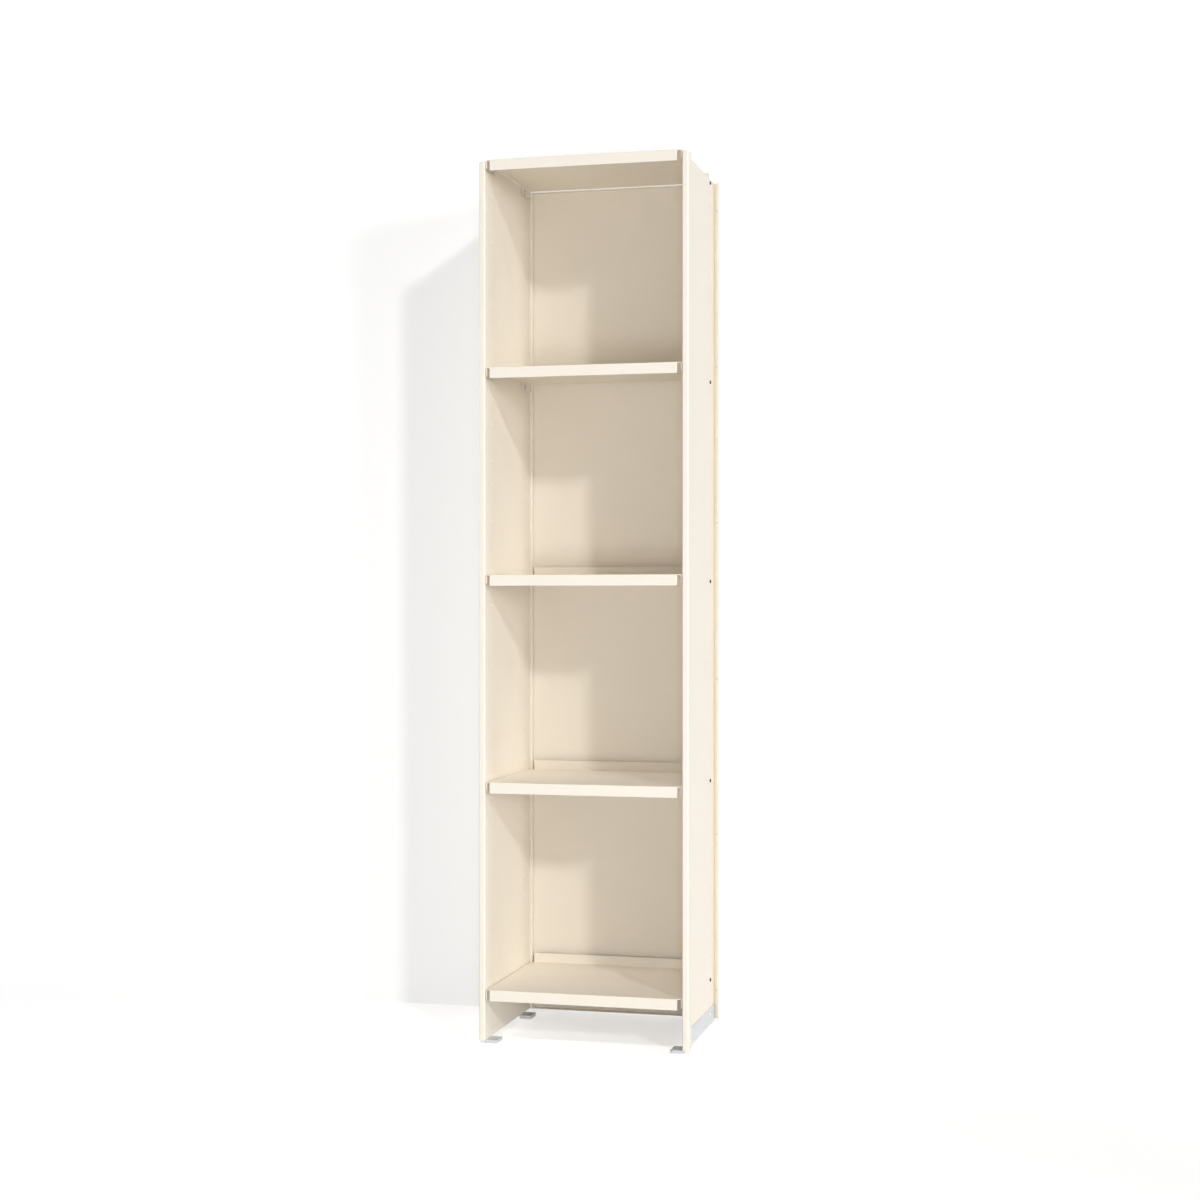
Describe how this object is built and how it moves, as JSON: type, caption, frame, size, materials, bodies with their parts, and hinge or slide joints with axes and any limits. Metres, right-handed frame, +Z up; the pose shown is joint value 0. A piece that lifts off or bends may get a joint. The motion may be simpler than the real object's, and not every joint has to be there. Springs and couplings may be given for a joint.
{
  "type": "shelving unit",
  "caption": "Tall narrow shelving unit of folded cream-coated sheet: perforated side panels, pan-shaped back and lipped shelves that hang on screws, on low grey feet.",
  "frame": {"origin": "centre of the unit's bounding box on the floor, under the feet", "axes": "+Z up, +X to the right seen from the front, +Y to the back"},
  "size_m": [0.438, 0.35, 1.8305],
  "materials": {
    "panel_coat": "cream satin powder coat on folded aluminium sheet",
    "shelf_coat": "cream satin powder coat on folded aluminium sheet",
    "back_coat": "cream satin powder coat on folded aluminium sheet",
    "rail_zinc": "light grey zinc",
    "rivet_zinc": "zinc",
    "back_screw_zinc": "zinc",
    "pad_plastic": "light grey moulded",
    "screw_black": "black oxide",
    "sleeve_zinc": "bright zinc"
  },
  "bodies": {
    "carcass": {"back_panel": "back_coat", "left_side_panel": "panel_coat", "left_base_rail": "rail_zinc", "left_rail_rivets": "rivet_zinc", "left_back_screws": "back_screw_zinc", "front_left_foot_pad": "pad_plastic", "rear_left_foot_pad": "pad_plastic", "right_side_panel": "panel_coat", "right_base_rail": "rail_zinc", "right_rail_rivets": "rivet_zinc", "right_back_screws": "back_screw_zinc", "front_right_foot_pad": "pad_plastic", "rear_right_foot_pad": "pad_plastic", "bottom_shelf_screws": "screw_black", "bottom_shelf_sleeve_nuts": "sleeve_zinc", "second_shelf_screws": "screw_black", "second_shelf_sleeve_nuts": "sleeve_zinc", "middle_shelf_screws": "screw_black", "middle_shelf_sleeve_nuts": "sleeve_zinc", "fourth_shelf_screws": "screw_black", "fourth_shelf_sleeve_nuts": "sleeve_zinc", "top_shelf_screws": "screw_black", "top_shelf_sleeve_nuts": "sleeve_zinc"},
    "bottom_shelf": {"bottom_shelf": "shelf_coat"},
    "second_shelf": {"second_shelf": "shelf_coat"},
    "middle_shelf": {"middle_shelf": "shelf_coat"},
    "fourth_shelf": {"fourth_shelf": "shelf_coat"},
    "top_shelf": {"top_shelf": "shelf_coat"}
  },
  "joints": [
    {"name": "bottom_shelf_lift", "type": "slide", "parent": "carcass", "child": "bottom_shelf", "axis": [0, 0, 1], "range_m": [0, 0.38]},
    {"name": "second_shelf_lift", "type": "slide", "parent": "carcass", "child": "second_shelf", "axis": [0, 0, 1], "range_m": [0, 0.38]},
    {"name": "middle_shelf_lift", "type": "slide", "parent": "carcass", "child": "middle_shelf", "axis": [0, 0, 1], "range_m": [0, 0.38]},
    {"name": "fourth_shelf_lift", "type": "slide", "parent": "carcass", "child": "fourth_shelf", "axis": [0, 0, 1], "range_m": [0, 0.38]},
    {"name": "top_shelf_lift", "type": "slide", "parent": "carcass", "child": "top_shelf", "axis": [0, 0, 1], "range_m": [0, 0.1]}
  ]
}
